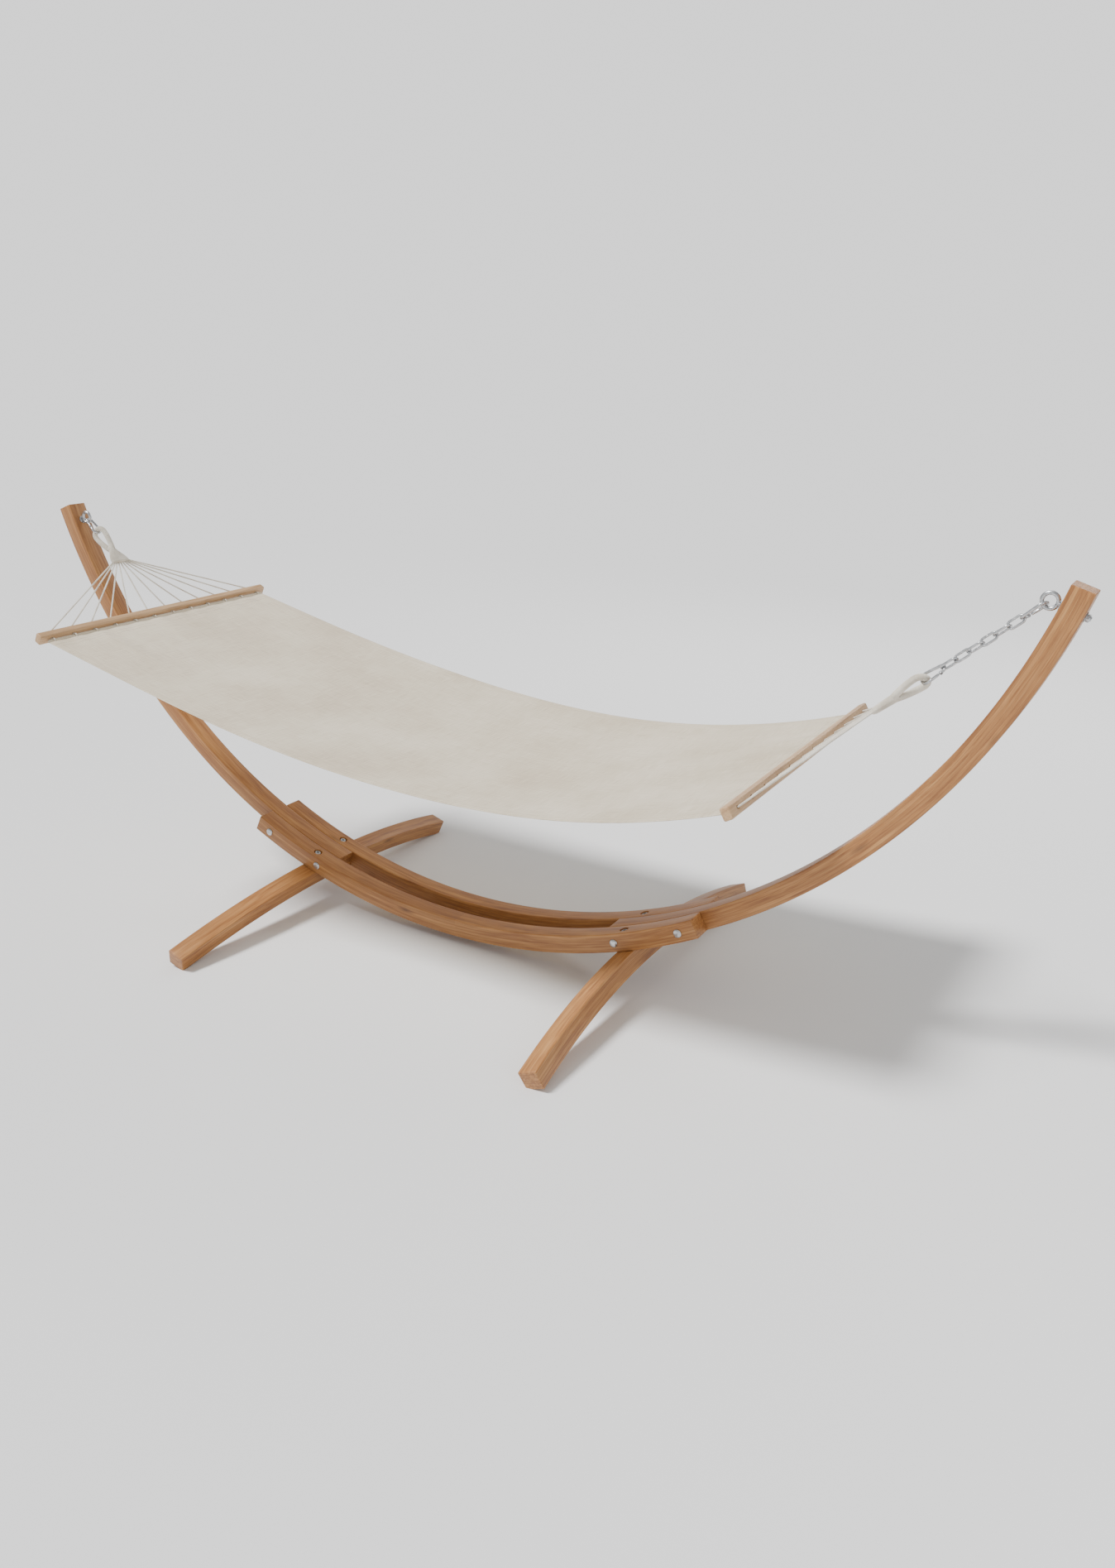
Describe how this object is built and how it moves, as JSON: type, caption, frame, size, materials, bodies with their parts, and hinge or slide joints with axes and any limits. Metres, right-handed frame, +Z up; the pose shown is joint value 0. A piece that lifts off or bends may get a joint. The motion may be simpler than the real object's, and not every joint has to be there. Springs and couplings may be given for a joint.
{
  "type": "hammock on stand",
  "caption": "Free-standing timber arc stand with cross legs, carrying a cloth bar hammock on ring eye bolts, snap hooks and a short chain.",
  "frame": {"origin": "centre of the footprint on the ground", "axes": "+X along the hammock towards the chain end, +Y across the legs, +Z up"},
  "size_m": [3.3208, 1.2904, 1.2316],
  "materials": {
    "larch_timber": "oiled laminated larch",
    "bar_timber": "oiled hardwood bar",
    "zinc_steel": "zinc-plated steel",
    "canvas": "natural cotton canvas",
    "cotton_cord": "twisted natural cord"
  },
  "bodies": {
    "stand": {"arm_left": "larch_timber", "arm_right": "larch_timber", "centre_beam_back": "larch_timber", "centre_beam_front": "larch_timber", "eye_bolt_left": "zinc_steel", "eye_bolt_right": "zinc_steel", "eye_nut_left": "zinc_steel", "eye_nut_right": "zinc_steel", "eye_washer_inner_left": "zinc_steel", "eye_washer_inner_right": "zinc_steel", "eye_washer_outer_left": "zinc_steel", "eye_washer_outer_right": "zinc_steel", "leg_bolt_left_back": "zinc_steel", "leg_bolt_left_front": "zinc_steel", "leg_bolt_right_back": "zinc_steel", "leg_bolt_right_front": "zinc_steel", "leg_left": "larch_timber", "leg_nut_left_back": "zinc_steel", "leg_nut_left_front": "zinc_steel", "leg_nut_right_back": "zinc_steel", "leg_nut_right_front": "zinc_steel", "leg_right": "larch_timber", "side_bolt_left_1": "zinc_steel", "side_bolt_left_2": "zinc_steel", "side_bolt_right_1": "zinc_steel", "side_bolt_right_2": "zinc_steel", "side_cap_nut_left_1": "zinc_steel", "side_cap_nut_left_2": "zinc_steel", "side_cap_nut_right_1": "zinc_steel", "side_cap_nut_right_2": "zinc_steel", "side_washer_left_1": "zinc_steel", "side_washer_left_2": "zinc_steel", "side_washer_right_1": "zinc_steel", "side_washer_right_2": "zinc_steel"},
    "hammock": {"chain_link_1": "zinc_steel", "chain_link_2": "zinc_steel", "chain_link_3": "zinc_steel", "chain_link_4": "zinc_steel", "chain_link_5": "zinc_steel", "chain_link_6": "zinc_steel", "cord_fan_left": "cotton_cord", "cord_fan_right": "cotton_cord", "end_loop_left": "cotton_cord", "end_loop_right": "cotton_cord", "gate_pin_left": "zinc_steel", "gate_pin_right_lower": "zinc_steel", "gate_pin_right_upper": "zinc_steel", "hammock_bed": "canvas", "snap_hook_left": "zinc_steel", "snap_hook_right_lower": "zinc_steel", "snap_hook_right_upper": "zinc_steel", "spreader_bar_left": "bar_timber", "spreader_bar_right": "bar_timber"},
    "gate_left": {"hook_gate_left": "zinc_steel"},
    "gate_right_upper": {"hook_gate_right_upper": "zinc_steel"},
    "gate_right_lower": {"hook_gate_right_lower": "zinc_steel"}
  },
  "joints": [
    {"name": "hammock_swing", "type": "hinge", "parent": "stand", "child": "hammock", "pos_m": [-1.55318, 0, 1.17541], "axis": [1, 0, 0.0003], "range_deg": [-25, 25]},
    {"name": "gate_left", "type": "hinge", "parent": "hammock", "child": "gate_left", "pos_m": [-1.55072, -0.00977, 1.17307], "axis": [0.6909, 0, 0.723], "range_deg": [0, 44], "stiffness_Nm_per_rad": 0.05, "springref_deg": -17.19},
    {"name": "gate_right_upper", "type": "hinge", "parent": "hammock", "child": "gate_right_upper", "pos_m": [1.52337, 0.00918, 1.1483], "axis": [0.5965, -0.342, -0.7261], "range_deg": [0, 44], "stiffness_Nm_per_rad": 0.05, "springref_deg": -17.19},
    {"name": "gate_right_lower", "type": "hinge", "parent": "hammock", "child": "gate_right_lower", "pos_m": [1.35107, -0.00691, 1.00215], "axis": [0.4488, 0.7071, -0.5464], "range_deg": [0, 44], "stiffness_Nm_per_rad": 0.05, "springref_deg": -17.19}
  ]
}
